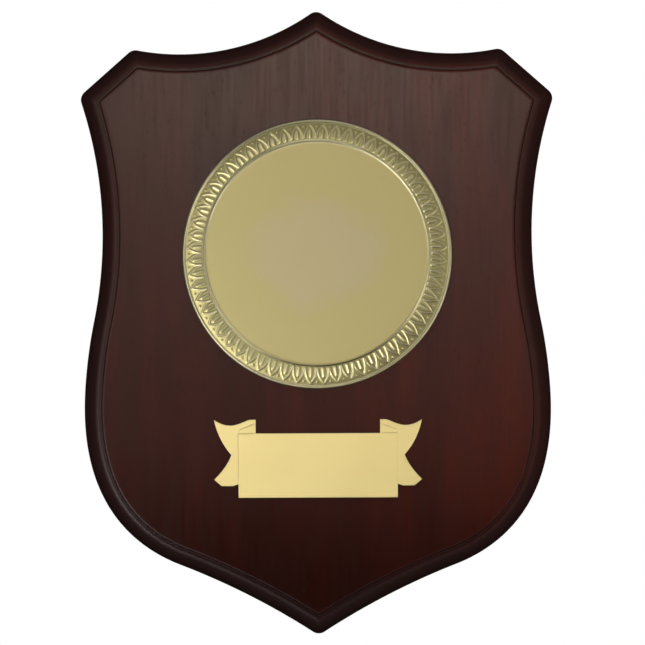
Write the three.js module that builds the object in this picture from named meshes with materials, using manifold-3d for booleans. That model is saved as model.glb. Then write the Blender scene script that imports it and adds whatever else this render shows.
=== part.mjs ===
// Wooden shield plaque: a moulded shield board that carries a round stamped metal disc with a border
// of leaves, and a flat metal ribbon scroll below it.
// Millimetres, +Z up. The flat back lies in the plane y = 0 and the front faces -Y.
// The origin is the middle of the back, where the board rests on the wall.

import * as THREE from 'three';
import { mergeVertices } from 'three/addons/utils/BufferGeometryUtils.js';
import Module from 'manifold-3d';

const wasm = await Module();
wasm.setup();

// Board outline, from the apex down one side to the lower tip. Each height runs from one corner or
// joint to the next, and each span goes across both sides. Corners are given where the edges would
// meet if they weren't rounded.
const INNER_EAR_HEIGHT = 14.8;
const OUTER_EAR_HEIGHT = 17.9;
const FLANK_HEIGHT = 85.1;
const BELLY_HEIGHT = 33.2;
const BOWL_HEIGHT = 59.1;
const KEEL_HEIGHT = 26.9;
const INNER_EAR_SPAN = 139;
const OUTER_EAR_SPAN = 179.5;
const FLANK_END_SPAN = 169;
const BELLY_SPAN = 176.3;
const KEEL_SPAN = 104;
const TOP_EDGE_RADIUS = 86.7;
const FLANK_RADIUS = 162.7;
const KEEL_RADIUS = 278;
const FLANK_END_PULL = 12.4;
const BELLY_TOP_PULL = 8.7;
const BELLY_FOOT_PULL = 33.9;
const KEEL_PULL = 21.6;
const CORNER_RADIUS = 4;
const FIELD_CORNER_RADIUS = 0.6;

// Board section: a flat back with an eased edge, a plain side, a quarter-round moulding, a small
// fillet step and the raised field.
const BOARD_THICKNESS = 16;
const BACK_EASE = 0.6;
const OVOLO_WIDTH = 6.4;
const OVOLO_HEIGHT = 6.4;
const FILLET_HEIGHT = 1;
const FILLET_SLOPE = 0.55;
const FIELD_EASE = 0.4;

// Hanging slot cut in the back: a round way in for a screw head, and a narrower slot above it.
const SCREW_HEAD_WIDTH = 9.6;
const SCREW_SHANK_WIDTH = 5;
const SLOT_TRAVEL = 12;
const SLOT_LIP = 3;
const SLOT_DEPTH = 9;
const SLOT_DROP = 46;

// Disc: a round rim, a border of leaves, a fine ring and the raised middle panel.
const DISC_DIAMETER = 101.6;
const DISC_DROP = 92.8;
const RIM_WIDTH = 1.45;
const RIM_SIDE_HEIGHT = 1.05;
const RIM_SHOULDER = 0.3;
const RIM_SHOULDER_DROP = 0.15;
const RIM_CREST = 0.85;
const RIM_HEIGHT = 1.95;
const BORDER_WIDTH = 5.15;
const BORDER_RIM_HEIGHT = 1.2;
const BORDER_RING_HEIGHT = 1.65;
const RING_WIDTH = 1.05;
const RING_RISE = 0.4;
const GROOVE_WIDTH = 0.35;
const GROOVE_DEPTH = 0.2;
const PANEL_EDGE_WIDTH = 0.8;
const PANEL_HEIGHT = 2.1;

// Leaves of the border. Shares run from the foot of a leaf, 0, to its tip, 1, and across half of
// its width from the middle rib, 0, to where the next leaf begins, 1.
const LEAVES = 60;
const LEAF_END = 0.12;
const LEAF_RELIEF = 0.42;
const BEAD_RELIEF = 0.36;
const BEAD_ROW = 0.8;
const LEAF_ROWS = [1, BEAD_ROW, 0.62, 0.36, 0];
const FOOT_SHARE = 0.3;
const RIB_SHARE = 0.5;
const TIP_SHARE = 0.9;
const ARCH_FOOT_WIDTH = 0.8;
const ARCH_TIP_WIDTH = 0.1;
const HOLLOW_SHARE = 0.48;

// Scroll plate: a plain panel with a folded tail on each side, cut to a swallow tail.
const SCROLL_GAP = 16.65;
const SCROLL_THICKNESS = 0.9;
const PANEL_LENGTH = 60.1;
const PANEL_DEPTH = 24.3;
const FOLD_INSET = 6.6;
const FOLD_RISE = 5.2;
const FOLD_FLAT = 2;
const DIP_REACH = 2.95;
const DIP_RISE = 3;
const TAIL_REACH = 9.2;
const TIP_BEND_REACH = 7.5;
const TIP_BEND_DROP = 2.6;
const NOTCH_REACH = 2.65;
const NOTCH_DROP = 8.1;
const TAIL_BEND_REACH = 4.5;
const TAIL_BEND_DROP = 12.9;
const TAIL_DROP = 17.4;
const HEM_DROP = 19.85;
const HEM_START = 2;
const HEM_END = 6.3;
const HEM_LIFT = 0.7;

// Lines engraved in the scroll plate. The curl is the line of the fold that rises from the corner of
// the panel: up the side, then in a slack bend to the inner end of the fold.
const LINE_WIDTH = 0.3;
const LINE_DEPTH = 0.2;
const LINE_END_GAP = 0.6;
const CURL_FOOT_RISE = 2.3;
const CURL_BEND_RISE = 1.8;
const CURL_END_RISE = 3.9;

// The adhesive film that each plate is stuck on with.
const ADHESIVE = 0.3;

// Fineness of the round stretches
const TOP_EDGE_STEPS = 9;
const SIDE_STEPS = 34;
const CORNER_STEPS = 4;
const OVOLO_STEPS = 5;
const DISC_SEGMENTS = 120;
const SLOT_SEGMENTS = 6;
const TAIL_STEPS = 6;
const CUT_CLEARANCE = 1;

const boardHeight = INNER_EAR_HEIGHT + OUTER_EAR_HEIGHT + FLANK_HEIGHT + BELLY_HEIGHT
  + BOWL_HEIGHT + KEEL_HEIGHT;
const apexHeight = boardHeight / 2;
const discRadius = DISC_DIAMETER / 2;
const discHeight = apexHeight - DISC_DROP;
const scrollTop = discHeight - discRadius - SCROLL_GAP;

// Pieces are drawn lying flat, face up, with z as the height above the wall. Standing them up turns
// that z to -Y.
const standing = new THREE.Matrix4().makeBasis(
  new THREE.Vector3(1, 0, 0),
  new THREE.Vector3(0, 0, 1),
  new THREE.Vector3(0, -1, 0),
);

// A closed geometry as a solid that can be joined and cut. Triangles that shrink to a line, as at
// the pole of a turned shape, are left out.
function toSolid(geometry) {
  geometry.deleteAttribute('normal');
  geometry.deleteAttribute('uv');
  const merged = mergeVertices(geometry);
  const corners = merged.index.array;
  const triangles = [];
  for (let i = 0; i < corners.length; i += 3) {
    const [a, b, c] = corners.subarray(i, i + 3);
    if (a !== b && b !== c && c !== a) {
      triangles.push(a, b, c);
    }
  }
  return new wasm.Manifold(new wasm.Mesh({
    numProp: 3,
    vertProperties: new Float32Array(merged.attributes.position.array),
    triVerts: new Uint32Array(triangles),
  }));
}

function toGeometry(solid) {
  const mesh = solid.getMesh();
  const geometry = new THREE.BufferGeometry();
  geometry.setAttribute('position', new THREE.BufferAttribute(mesh.vertProperties, 3));
  geometry.setIndex(new THREE.BufferAttribute(mesh.triVerts, 1));
  return geometry;
}

function extrude(shape, from, to) {
  const geometry = new THREE.ExtrudeGeometry(shape, {
    depth: to - from,
    bevelEnabled: false,
    curveSegments: SLOT_SEGMENTS,
  });
  return geometry.translate(0, 0, from);
}

// A hollow arc from one point to the next, with its centre on the left of the way.
function hollowArc(from, to, radius) {
  const way = to.clone().sub(from);
  const rise = Math.sqrt(radius ** 2 - way.lengthSq() / 4);
  const left = new THREE.Vector2(-way.y, way.x).normalize();
  const centre = from.clone().add(to).multiplyScalar(0.5).addScaledVector(left, rise);
  const start = from.clone().sub(centre).angle();
  const end = to.clone().sub(centre).angle();
  return new THREE.EllipseCurve(centre.x, centre.y, radius, radius, start, end, false);
}

// One stretch of the outline between two corners, as evenly spaced samples. The board lies on the
// right of the way, so the inward direction is the tangent turned right.
function stretch(curves, steps) {
  const path = new THREE.CurvePath();
  curves.forEach((curve) => path.add(curve));
  return Array.from({ length: steps + 1 }, (_, i) => {
    const tangent = path.getTangent(i / steps);
    return {
      share: i / steps,
      point: path.getPoint(i / steps),
      tangent,
      inward: new THREE.Vector2(tangent.y, -tangent.x),
    };
  });
}

function mirrored(samples) {
  return samples.toReversed().map(({ share, point, tangent, inward }) => ({
    share: 1 - share,
    point: new THREE.Vector2(-point.x, point.y),
    tangent: new THREE.Vector2(tangent.x, -tangent.y),
    inward: new THREE.Vector2(-inward.x, inward.y),
  }));
}

// The six stretches of the shield's outline, clockwise from the apex.
function outlineStretches() {
  const apex = new THREE.Vector2(0, apexHeight);
  const innerEar = new THREE.Vector2(INNER_EAR_SPAN / 2, apex.y - INNER_EAR_HEIGHT);
  const outerEar = new THREE.Vector2(OUTER_EAR_SPAN / 2, innerEar.y - OUTER_EAR_HEIGHT);
  const flankEnd = new THREE.Vector2(FLANK_END_SPAN / 2, outerEar.y - FLANK_HEIGHT);
  const belly = new THREE.Vector2(BELLY_SPAN / 2, flankEnd.y - BELLY_HEIGHT);
  const keel = new THREE.Vector2(KEEL_SPAN / 2, belly.y - BOWL_HEIGHT);
  const tip = new THREE.Vector2(0, keel.y - KEEL_HEIGHT);

  const flank = hollowArc(outerEar, flankEnd, FLANK_RADIUS);
  const keelArc = hollowArc(keel, tip, KEEL_RADIUS);
  const upperBelly = new THREE.CubicBezierCurve(
    flankEnd,
    flankEnd.clone().addScaledVector(flank.getTangent(1), FLANK_END_PULL),
    new THREE.Vector2(belly.x, belly.y + BELLY_TOP_PULL),
    belly,
  );
  const bowl = new THREE.CubicBezierCurve(
    belly,
    new THREE.Vector2(belly.x, belly.y - BELLY_FOOT_PULL),
    keel.clone().addScaledVector(keelArc.getTangent(0), -KEEL_PULL),
    keel,
  );
  const half = [
    stretch([hollowArc(apex, innerEar, TOP_EDGE_RADIUS)], TOP_EDGE_STEPS),
    stretch([new THREE.LineCurve(innerEar, outerEar)], 1),
    stretch([flank, upperBelly, bowl, keelArc], SIDE_STEPS),
  ];
  return [...half, ...half.toReversed().map(mirrored)];
}

// The outline moved inwards by an inset. Each corner is an arc whose radius shrinks with the inset,
// from the rounded outer corner to the nearly sharp corner of the field. Each stretch is shortened
// to meet the arcs, by a shift along its tangents that fades from one end to the other.
function insetOutline(stretches, inset) {
  const radius = Math.max(CORNER_RADIUS - inset, FIELD_CORNER_RADIUS);
  const reach = inset + radius;
  const outline = [];
  stretches.forEach((samples, i) => {
    const before = stretches.at(i - 1).at(-1);
    const after = stretches[(i + 1) % stretches.length][0];
    const last = samples.at(-1);
    const startTurn = Math.tan(before.inward.angleTo(samples[0].inward) / 2);
    const endTurn = Math.tan(last.inward.angleTo(after.inward) / 2);
    samples.forEach(({ share, point, tangent, inward }) => {
      const shift = reach * (startTurn * (1 - share) - endTurn * share);
      outline.push(point.clone().addScaledVector(inward, inset).addScaledVector(tangent, shift));
    });
    const centre = last.point.clone()
      .addScaledVector(last.inward, reach)
      .addScaledVector(last.tangent, -reach * endTurn);
    const turn = -last.inward.angleTo(after.inward);
    for (let step = 1; step < CORNER_STEPS; step += 1) {
      const spoke = last.inward.clone()
        .rotateAround(new THREE.Vector2(), (turn * step) / CORNER_STEPS)
        .multiplyScalar(-radius);
      outline.push(centre.clone().add(spoke));
    }
  });
  return outline.reverse();
}

// The triangles between two closed rows of points, the second in front of the first or inside it.
// Where one row has more points than the other, the shorter row's points are shared out evenly.
// Four corners are split along the shorter diagonal, so that a mirrored form is split alike.
function band(points, lower, upper) {
  const steps = Math.max(lower.count, upper.count);
  const spot = ({ start, count }, i) => start + (Math.round((i * count) / steps) % count);
  const gap = (a, b) => points[a].distanceTo(points[b]);
  return Array.from({ length: steps }, (_, i) => {
    const [a, b] = [spot(lower, i), spot(lower, i + 1)];
    const [c, d] = [spot(upper, i), spot(upper, i + 1)];
    if (a === b) {
      return [a, d, c];
    }
    if (c === d) {
      return [a, b, c];
    }
    return gap(a, d) < gap(b, c) ? [a, b, d, a, d, c] : [a, b, c, b, d, c];
  }).flat();
}

// A closed skin over rows of points that run anticlockwise seen from the front, from the edge of the
// back to the edge of the front.
function skin(rows) {
  let start = 0;
  const spans = rows.map((row) => {
    const span = { start, count: row.length };
    start += row.length;
    return span;
  });
  const points = rows.flat();
  const back = THREE.ShapeUtils.triangulateShape(rows[0], []);
  const front = THREE.ShapeUtils.triangulateShape(rows.at(-1), []);
  const index = [
    ...back.flatMap(([a, b, c]) => [c, b, a]),
    ...spans.slice(1).flatMap((upper, i) => band(points, spans[i], upper)),
    ...front.flat().map((i) => spans.at(-1).start + i),
  ];
  const geometry = new THREE.BufferGeometry();
  geometry.setFromPoints(points);
  return geometry.setIndex(index);
}

// The section of the board as insets and heights above the wall.
function boardSection() {
  const ovoloFoot = BOARD_THICKNESS - FILLET_HEIGHT - OVOLO_HEIGHT;
  const section = [
    { inset: BACK_EASE, z: 0 },
    { inset: 0, z: BACK_EASE },
  ];
  for (let i = 0; i <= OVOLO_STEPS; i += 1) {
    const angle = (Math.PI / 2) * (i / OVOLO_STEPS);
    section.push({
      inset: OVOLO_WIDTH * (1 - Math.cos(angle)),
      z: ovoloFoot + OVOLO_HEIGHT * Math.sin(angle),
    });
  }
  section.push({ inset: OVOLO_WIDTH + FILLET_SLOPE, z: BOARD_THICKNESS - FIELD_EASE });
  section.push({ inset: OVOLO_WIDTH + FILLET_SLOPE + FIELD_EASE, z: BOARD_THICKNESS });
  return section;
}

// An upright slot with round ends, whose lower round end has its centre at the origin.
function slotShape(width, travel) {
  const shape = new THREE.Shape();
  shape.absarc(0, travel, width / 2, 0, Math.PI);
  shape.absarc(0, 0, width / 2, Math.PI, 2 * Math.PI);
  return shape;
}

// What the cutter takes out of the back for the hanging slot.
function hangingSlot() {
  const wayIn = toSolid(extrude(slotShape(SCREW_HEAD_WIDTH, 0), -CUT_CLEARANCE, SLOT_DEPTH));
  const headWay = toSolid(extrude(slotShape(SCREW_HEAD_WIDTH, SLOT_TRAVEL), SLOT_LIP, SLOT_DEPTH));
  const shankWay = toSolid(
    extrude(slotShape(SCREW_SHANK_WIDTH, SLOT_TRAVEL), -CUT_CLEARANCE, SLOT_LIP + CUT_CLEARANCE),
  );
  return wayIn.add(headWay).add(shankWay).translate(0, apexHeight - SLOT_DROP - SLOT_TRAVEL, 0);
}

function boardGeometry() {
  const stretches = outlineStretches();
  const rows = boardSection().map(({ inset, z }) => (
    insetOutline(stretches, inset).map(({ x, y }) => new THREE.Vector3(x, y, z))
  ));
  const board = toSolid(skin(rows)).subtract(hangingSlot());
  return toGeometry(board).applyMatrix4(standing);
}

// A row of evenly spaced points round the disc.
function discRow(radius, height) {
  return Array.from({ length: DISC_SEGMENTS }, (_, i) => {
    const angle = (2 * Math.PI * i) / DISC_SEGMENTS;
    return new THREE.Vector3(radius * Math.cos(angle), radius * Math.sin(angle), height);
  });
}

// The columns of one leaf, from where it leaves its neighbour on one side to the other: the joined
// feet with a bead above them, the arch, the hollow, the middle rib, the hollow and the arch again.
// Each has its place across the leaf and its relief at a share of the leaf's length.
const archWidth = (share) => ARCH_TIP_WIDTH
  + (ARCH_FOOT_WIDTH - ARCH_TIP_WIDTH) * Math.sqrt(1 - share ** 2);
const feet = {
  place: () => -1,
  relief(share) {
    if (share === BEAD_ROW) {
      return BEAD_RELIEF;
    }
    return share < FOOT_SHARE ? LEAF_RELIEF : 0;
  },
};
const arch = (side) => ({
  place: (share) => side * archWidth(share),
  relief: () => LEAF_RELIEF,
});
const hollow = (side) => ({
  place: (share) => side * archWidth(share) * HOLLOW_SHARE,
  relief: (share) => (share > TIP_SHARE ? LEAF_RELIEF : 0),
});
const rib = {
  place: () => 0,
  relief: (share) => (share < RIB_SHARE || share > TIP_SHARE ? LEAF_RELIEF : 0),
};
const leafColumns = [feet, arch(-1), hollow(-1), rib, hollow(1), arch(1)];

// A row of points round the border at a share of the leaves' length, on the sloping ground of the
// border and the relief that stands on it.
function leafRow(share, ringRadius, rimRadius) {
  const radius = THREE.MathUtils.lerp(ringRadius, rimRadius, share);
  const ground = THREE.MathUtils.lerp(BORDER_RING_HEIGHT, BORDER_RIM_HEIGHT, share);
  const halfLeaf = Math.PI / LEAVES;
  return Array.from({ length: LEAVES }, (_, leaf) => leafColumns.map(({ place, relief }) => {
    const angle = halfLeaf * (2 * leaf + 1 + place(share));
    return new THREE.Vector3(
      radius * Math.cos(angle),
      radius * Math.sin(angle),
      ground + relief(share),
    );
  })).flat();
}

function discGeometry() {
  const borderRim = discRadius - RIM_WIDTH;
  const borderRing = borderRim - BORDER_WIDTH;
  const ringOuter = borderRing - GROOVE_WIDTH;
  const ringInner = ringOuter - RING_WIDTH;
  const panelEdge = ringInner - GROOVE_WIDTH;
  const grooveHeight = BORDER_RING_HEIGHT - GROOVE_DEPTH;
  const rows = [
    discRow(discRadius, 0),
    discRow(discRadius, RIM_SIDE_HEIGHT),
    discRow(discRadius - RIM_SHOULDER, RIM_HEIGHT - RIM_SHOULDER_DROP),
    discRow(discRadius - RIM_CREST, RIM_HEIGHT),
    discRow(borderRim, BORDER_RIM_HEIGHT),
    ...LEAF_ROWS.map((share) => leafRow(share, borderRing + LEAF_END, borderRim - LEAF_END)),
    discRow(borderRing, BORDER_RING_HEIGHT),
    discRow(ringOuter, grooveHeight),
    discRow((ringOuter + ringInner) / 2, BORDER_RING_HEIGHT + RING_RISE),
    discRow(ringInner, grooveHeight),
    discRow(panelEdge, BORDER_RING_HEIGHT),
    discRow(panelEdge - PANEL_EDGE_WIDTH, PANEL_HEIGHT),
  ];
  return skin(rows).applyMatrix4(standing);
}

// Half of the scroll's outline, on the right, from the middle of the panel's lower edge to the middle
// of its upper edge. The origin is the middle of the upper edge.
function scrollShape() {
  const side = PANEL_LENGTH / 2;
  const half = new THREE.Path();
  half.moveTo(side, -PANEL_DEPTH);
  half.lineTo(side, HEM_LIFT - HEM_DROP);
  half.lineTo(side + HEM_START, -HEM_DROP);
  half.lineTo(side + HEM_END, -HEM_DROP);
  half.lineTo(side + TAIL_REACH, -TAIL_DROP);
  half.quadraticCurveTo(
    side + TAIL_BEND_REACH,
    -TAIL_BEND_DROP,
    side + NOTCH_REACH,
    -NOTCH_DROP,
  );
  half.quadraticCurveTo(
    side + TIP_BEND_REACH,
    -TIP_BEND_DROP,
    side + TAIL_REACH,
    FOLD_RISE,
  );
  half.quadraticCurveTo(
    side + (DIP_REACH + TAIL_REACH) / 2,
    DIP_RISE,
    side + DIP_REACH,
    DIP_RISE,
  );
  half.bezierCurveTo(
    side,
    DIP_RISE,
    side - FOLD_INSET / 2,
    FOLD_RISE,
    side - FOLD_INSET + FOLD_FLAT,
    FOLD_RISE,
  );
  half.lineTo(side - FOLD_INSET, FOLD_RISE);
  half.lineTo(side - FOLD_INSET, 0);
  const points = half.getPoints(TAIL_STEPS);
  const otherHalf = points.toReversed().map(({ x, y }) => new THREE.Vector2(-x, y));
  return new THREE.Shape([...points, ...otherHalf]);
}

// The cutter's way for one engraved line: a narrow band on both sides of a curve.
function engravedLine(curve, steps) {
  const edge = (offset) => Array.from({ length: steps + 1 }, (_, i) => {
    const { x, y } = curve.getTangent(i / steps);
    return curve.getPoint(i / steps).addScaledVector(new THREE.Vector2(-y, x), offset);
  });
  const outline = [...edge(-LINE_WIDTH / 2), ...edge(LINE_WIDTH / 2).reverse()];
  return toSolid(extrude(
    new THREE.Shape(outline),
    SCROLL_THICKNESS - LINE_DEPTH,
    SCROLL_THICKNESS + CUT_CLEARANCE,
  ));
}

// The fold lines on one side: down the side of the panel, along its upper edge across the fold, and
// the curl. They meet at the corner of the panel and stop just short of the plate's edges.
function foldLines(mirror) {
  const side = PANEL_LENGTH / 2;
  const foldEnd = side - FOLD_INSET + LINE_END_GAP;
  const spot = (x, y) => new THREE.Vector2(mirror * x, y);
  const down = new THREE.LineCurve(
    spot(side, LINE_WIDTH / 2),
    spot(side, HEM_LIFT - HEM_DROP + LINE_END_GAP),
  );
  const across = new THREE.LineCurve(spot(side, 0), spot(foldEnd, 0));
  const curl = new THREE.CubicBezierCurve(
    spot(side, 0),
    spot(side, CURL_FOOT_RISE),
    spot(side - FOLD_INSET / 2, CURL_BEND_RISE),
    spot(foldEnd, CURL_END_RISE),
  );
  return [engravedLine(down, 1), engravedLine(across, 1), engravedLine(curl, TAIL_STEPS)];
}

function scrollGeometry() {
  const plate = toSolid(extrude(scrollShape(), 0, SCROLL_THICKNESS));
  const lines = [...foldLines(1), ...foldLines(-1)];
  const engraved = lines.reduce((solid, line) => solid.subtract(line), plate);
  return toGeometry(engraved).applyMatrix4(standing);
}

const lacqueredWood = new THREE.MeshStandardMaterial({
  color: 0x45282a,
  roughness: 0.38,
  metalness: 0,
});
const satinGold = new THREE.MeshStandardMaterial({
  color: 0xb8ab70,
  roughness: 0.3,
  metalness: 1,
});
const paleGold = new THREE.MeshStandardMaterial({
  color: 0xe6d48f,
  roughness: 0.42,
  metalness: 1,
});

function piece(name, geometry, material) {
  const mesh = new THREE.Mesh(geometry, material);
  mesh.name = name;
  return mesh;
}

const shieldBoard = piece('shield_board', boardGeometry(), lacqueredWood);

const borderDisc = piece('border_disc', discGeometry(), satinGold);
borderDisc.position.set(0, -BOARD_THICKNESS - ADHESIVE, discHeight);

const scrollPlate = piece('scroll_plate', scrollGeometry(), paleGold);
scrollPlate.position.set(0, -BOARD_THICKNESS - ADHESIVE, scrollTop);

const plaque = new THREE.Group();
plaque.add(shieldBoard, borderDisc, scrollPlate);

export default plaque;
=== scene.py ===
"""The looks of a wooden shield plaque: its moulded board, its bordered disc and its ribbon scroll.

Everything is in metres, +Z up, in the frame's own place: the flat back lies in the plane y = 0 and
the front faces -Y. Sizes that the frame can give are read from it, and the others are named here.
"""

import logging
import math
from dataclasses import dataclass, field
from enum import Enum

import bpy
import numpy as np
from mathutils import Matrix, Vector


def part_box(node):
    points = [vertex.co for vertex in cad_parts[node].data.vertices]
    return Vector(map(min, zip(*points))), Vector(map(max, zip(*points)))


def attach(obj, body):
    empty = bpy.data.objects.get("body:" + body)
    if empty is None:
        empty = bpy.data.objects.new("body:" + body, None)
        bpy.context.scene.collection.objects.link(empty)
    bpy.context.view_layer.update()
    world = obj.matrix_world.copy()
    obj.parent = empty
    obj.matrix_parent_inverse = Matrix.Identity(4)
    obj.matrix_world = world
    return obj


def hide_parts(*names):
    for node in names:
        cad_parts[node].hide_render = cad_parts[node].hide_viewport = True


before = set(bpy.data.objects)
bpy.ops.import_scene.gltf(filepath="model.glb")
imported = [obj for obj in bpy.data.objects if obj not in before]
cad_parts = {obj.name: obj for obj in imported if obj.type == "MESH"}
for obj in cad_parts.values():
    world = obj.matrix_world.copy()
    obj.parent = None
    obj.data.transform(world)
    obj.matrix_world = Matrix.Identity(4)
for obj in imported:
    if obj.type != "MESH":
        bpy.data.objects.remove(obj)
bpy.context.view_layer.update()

log = logging.getLogger("plaque")

MM = 0.001
BODY = "root"
Points = np.ndarray
Socket = bpy.types.NodeSocket
Colour = tuple[float, float, float]
WHITE: Colour = (1.0, 1.0, 1.0)
WARM_WHITE: Colour = (1.0, 0.95, 0.82)

# Names of the numbers that a mesh holds at each point, for its finish to read
# raised: the relief's height, which the disc's finish turns into painted highlight and painted shade
RAISED = "raised"
# A toned edge with painted shade: darker on the moulding's outer part, where it turns from the light, in
# its quirk and a little up to its crest
TONED_EDGE_AND_SHADE = "toned_edge_and_shade"
EDGE_DULLNESS = "edge_dullness"

# The range in which a soft noise keeps nearly all of its values
NOISE_RANGE = (0.3, 0.7)


class Slot(Enum):
    """The material slots of the record."""

    WOOD = "lacquered_wood"
    DISC_GOLD = "satin_gold"
    SCROLL_GOLD = "pale_gold"


# Mesh helpers


def bump(distance: Points, radius: Points | float) -> Points:
    """A rounded ridge: 1 on its line, falling as a squared cosine to 0 at its radius."""
    share = np.clip(distance / radius, 0.0, 1.0)
    return np.cos(share * math.pi / 2) ** 2


def smooth_step(value: Points, low: float, high: float) -> Points:
    """0 below low, 1 above high, and an even S-shaped rise between them."""
    share = np.clip((value - low) / (high - low), 0.0, 1.0)
    return share * share * (3.0 - 2.0 * share)


def ring_quads(rows: int, columns: int, start: int = 0) -> Points:
    """Quads between rows of points that each close on themselves.

    Args:
        rows: How many rows there are.
        columns: How many points each row has.
        start: The number of the first point.

    Returns:
        One row of four point numbers for each quad.
    """
    row, column = np.meshgrid(np.arange(rows - 1), np.arange(columns), indexing="ij")
    here = row * columns + column
    along = row * columns + (column + 1) % columns
    quads = np.stack([here, along, along + columns, here + columns], axis=-1)
    return start + quads.reshape(-1, 4)


def stand(plan: Points, height: Points | float) -> Points:
    """Stands flat points up: plan holds x and z, and a height above the wall becomes -y."""
    height = np.broadcast_to(height, plan.shape[:-1])
    return np.stack([plan[..., 0], -height, plan[..., 1]], axis=-1)


def make_mesh(name: str, points: Points, faces: list[list[int]]) -> bpy.types.Mesh:
    """A mesh from points and faces.

    Args:
        name: The mesh's name.
        points: The points, all in one unit.
        faces: The point numbers of each face, anticlockwise seen from outside.

    Returns:
        The new mesh.
    """
    mesh = bpy.data.meshes.new(name)
    mesh.from_pydata(points.reshape(-1, 3), [], faces)
    mesh.validate(verbose=False)
    mesh.update()
    return mesh


def add_object(name: str, data: bpy.types.ID) -> bpy.types.Object:
    """Puts a new object into the scene, at the origin.

    Args:
        name: The object's name.
        data: Its mesh, light or camera.

    Returns:
        The object.
    """
    added = bpy.data.objects.new(name, data)
    bpy.context.scene.collection.objects.link(added)
    return added


def make_piece(mesh: bpy.types.Mesh, crease: float) -> bpy.types.Object:
    """Puts a mesh into the scene as a piece that rides on the plaque, smooth but for its creases.

    Args:
        mesh: The finished mesh, in its place.
        crease: Edges that turn by more than this angle, in degrees, stay sharp.

    Returns:
        The piece's object, at the origin.
    """
    mesh.shade_smooth()
    mesh.set_sharp_from_angle(angle=math.radians(crease))
    piece = add_object(mesh.name, mesh)
    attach(piece, BODY)
    return piece


# Node helpers


@dataclass(frozen=True)
class Grain:
    """A soft noise: its blobs to a metre along each axis, and how rich and rough its detail is."""

    x: float
    y: float
    z: float
    detail: float = 2.0
    roughness: float = 0.5


@dataclass(frozen=True)
class Ramp:
    """A change of range with soft ends: low becomes to_low, and high becomes to_high."""

    low: float
    high: float
    to_low: float = 0.0
    to_high: float = 1.0


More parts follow.
